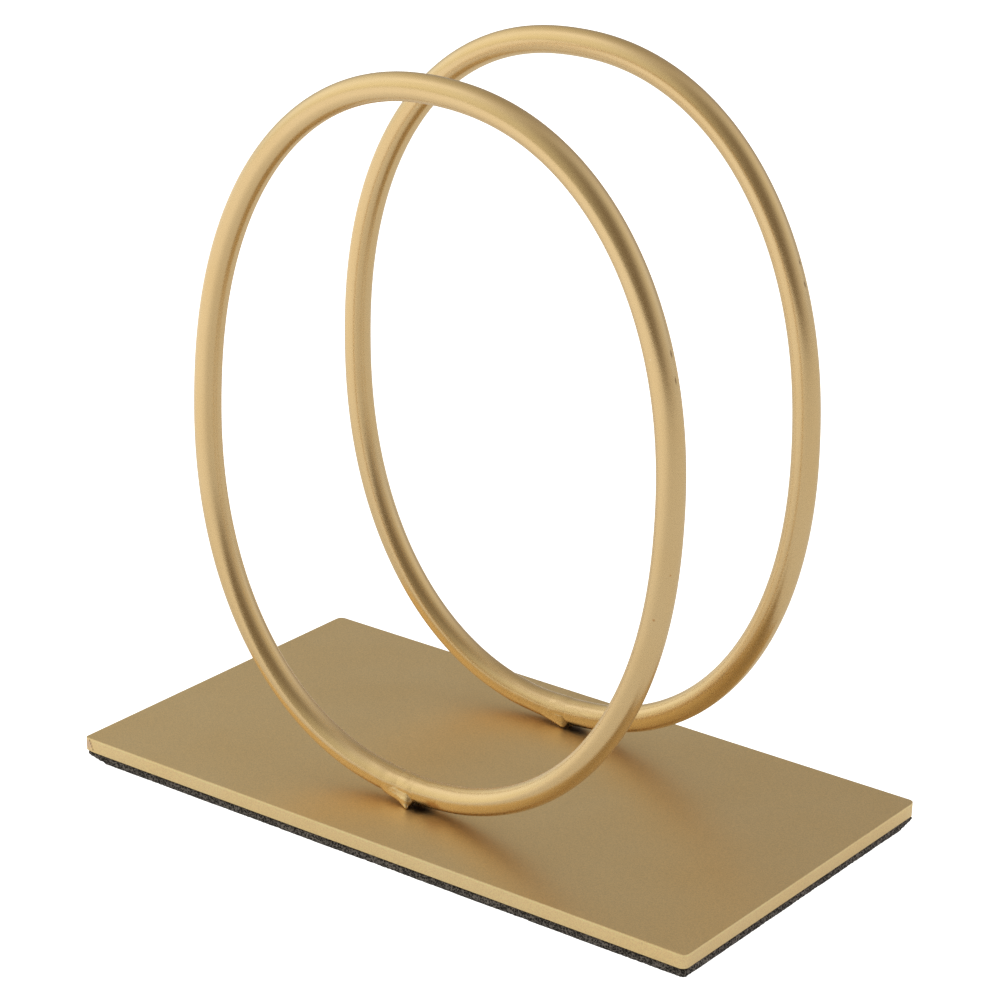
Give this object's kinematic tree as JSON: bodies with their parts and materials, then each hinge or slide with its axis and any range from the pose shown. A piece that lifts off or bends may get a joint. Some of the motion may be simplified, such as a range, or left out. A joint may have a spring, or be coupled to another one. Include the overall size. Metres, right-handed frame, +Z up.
{
  "type": "double hoop wreath stand",
  "caption": "Tabletop wreath frame: upright oval rod hoops welded to a flat rectangular steel base, gold painted, on a foam pad.",
  "frame": {"origin": "on the resting surface, under the middle of the base plate", "axes": "+X along the plate's long side, +Y across it from the front hoop to the back hoop, +Z up"},
  "size_m": [0.16, 0.09, 0.1646],
  "materials": {
    "plate_paint": "matte metallic gold paint on steel plate",
    "hoop_paint": "satin metallic gold paint on round steel rod",
    "weld_paint": "gold paint over a rough weld",
    "adhesive": "black adhesive film",
    "foam": "dark grey cut foam, open cells at the edge"
  },
  "bodies": {
    "root": {"base_plate": "plate_paint", "adhesive_film": "adhesive", "foam_pad": "foam", "front_hoop": "hoop_paint", "back_hoop": "hoop_paint", "front_butt_weld": "weld_paint", "back_butt_weld": "weld_paint", "front_foot_weld": "weld_paint", "back_foot_weld": "weld_paint"}
  },
  "joints": []
}
